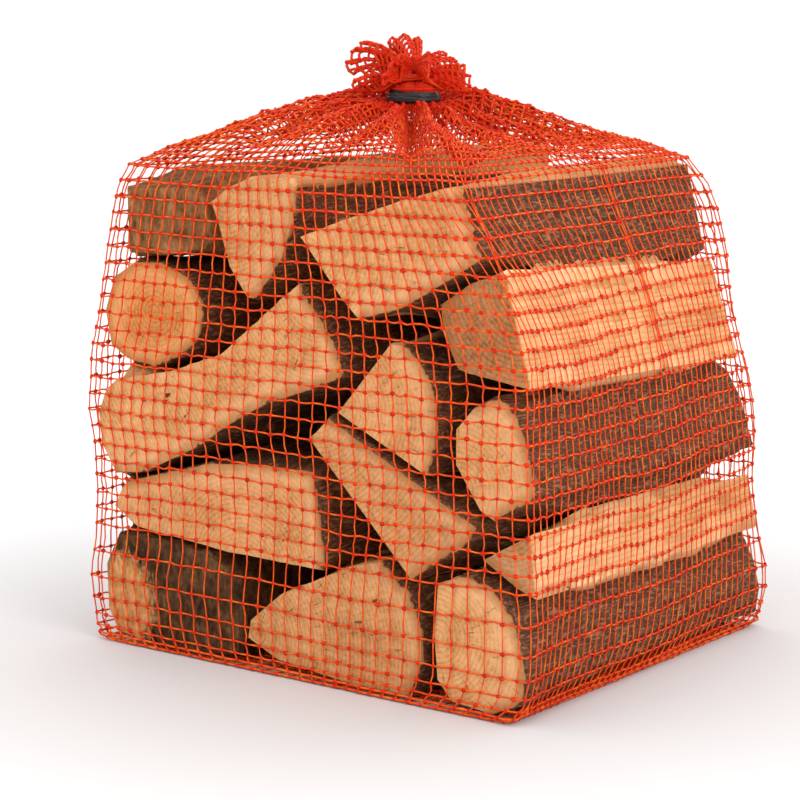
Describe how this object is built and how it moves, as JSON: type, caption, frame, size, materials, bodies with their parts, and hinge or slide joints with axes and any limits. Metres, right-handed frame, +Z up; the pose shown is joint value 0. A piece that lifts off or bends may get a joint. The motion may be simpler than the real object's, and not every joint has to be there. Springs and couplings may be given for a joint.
{
  "type": "firewood bundle",
  "caption": "Split hardwood logs stacked parallel in an open-mesh net bag, gathered and tied at the top with a band; a tied bag of stove firewood that stands on its flat base",
  "frame": {"origin": "centre of the base on the ground", "axes": "+X right along the front row of sawn log ends, +Y along the logs towards the back, +Z up"},
  "size_m": [0.296, 0.256, 0.331],
  "materials": {
    "split_wood": "sawn and split, dry",
    "pale_wood": "freshly split, dry",
    "orange_wood": "sawn, dry",
    "bark_wood": "bark on, dry",
    "weathered_wood": "weathered, dry",
    "net": "knotted orange polythene netting",
    "tie": "black band, satin"
  },
  "bodies": {
    "root": {"log_weathered_bottom_left": "weathered_wood", "log_quarter_bottom_middle": "split_wood", "log_bark_bottom_right": "bark_wood", "log_half_lower_left": "split_wood", "log_slab_centre": "split_wood", "log_thin_split_right": "pale_wood", "log_long_wedge_left": "split_wood", "log_quarter_centre": "split_wood", "log_bark_right": "bark_wood", "log_split_upper_right": "pale_wood", "log_round_left": "orange_wood", "log_weathered_top_left": "weathered_wood", "log_wedge_top": "split_wood", "log_split_top_right": "split_wood", "net_bag": "net", "tie_band": "tie"}
  },
  "joints": []
}
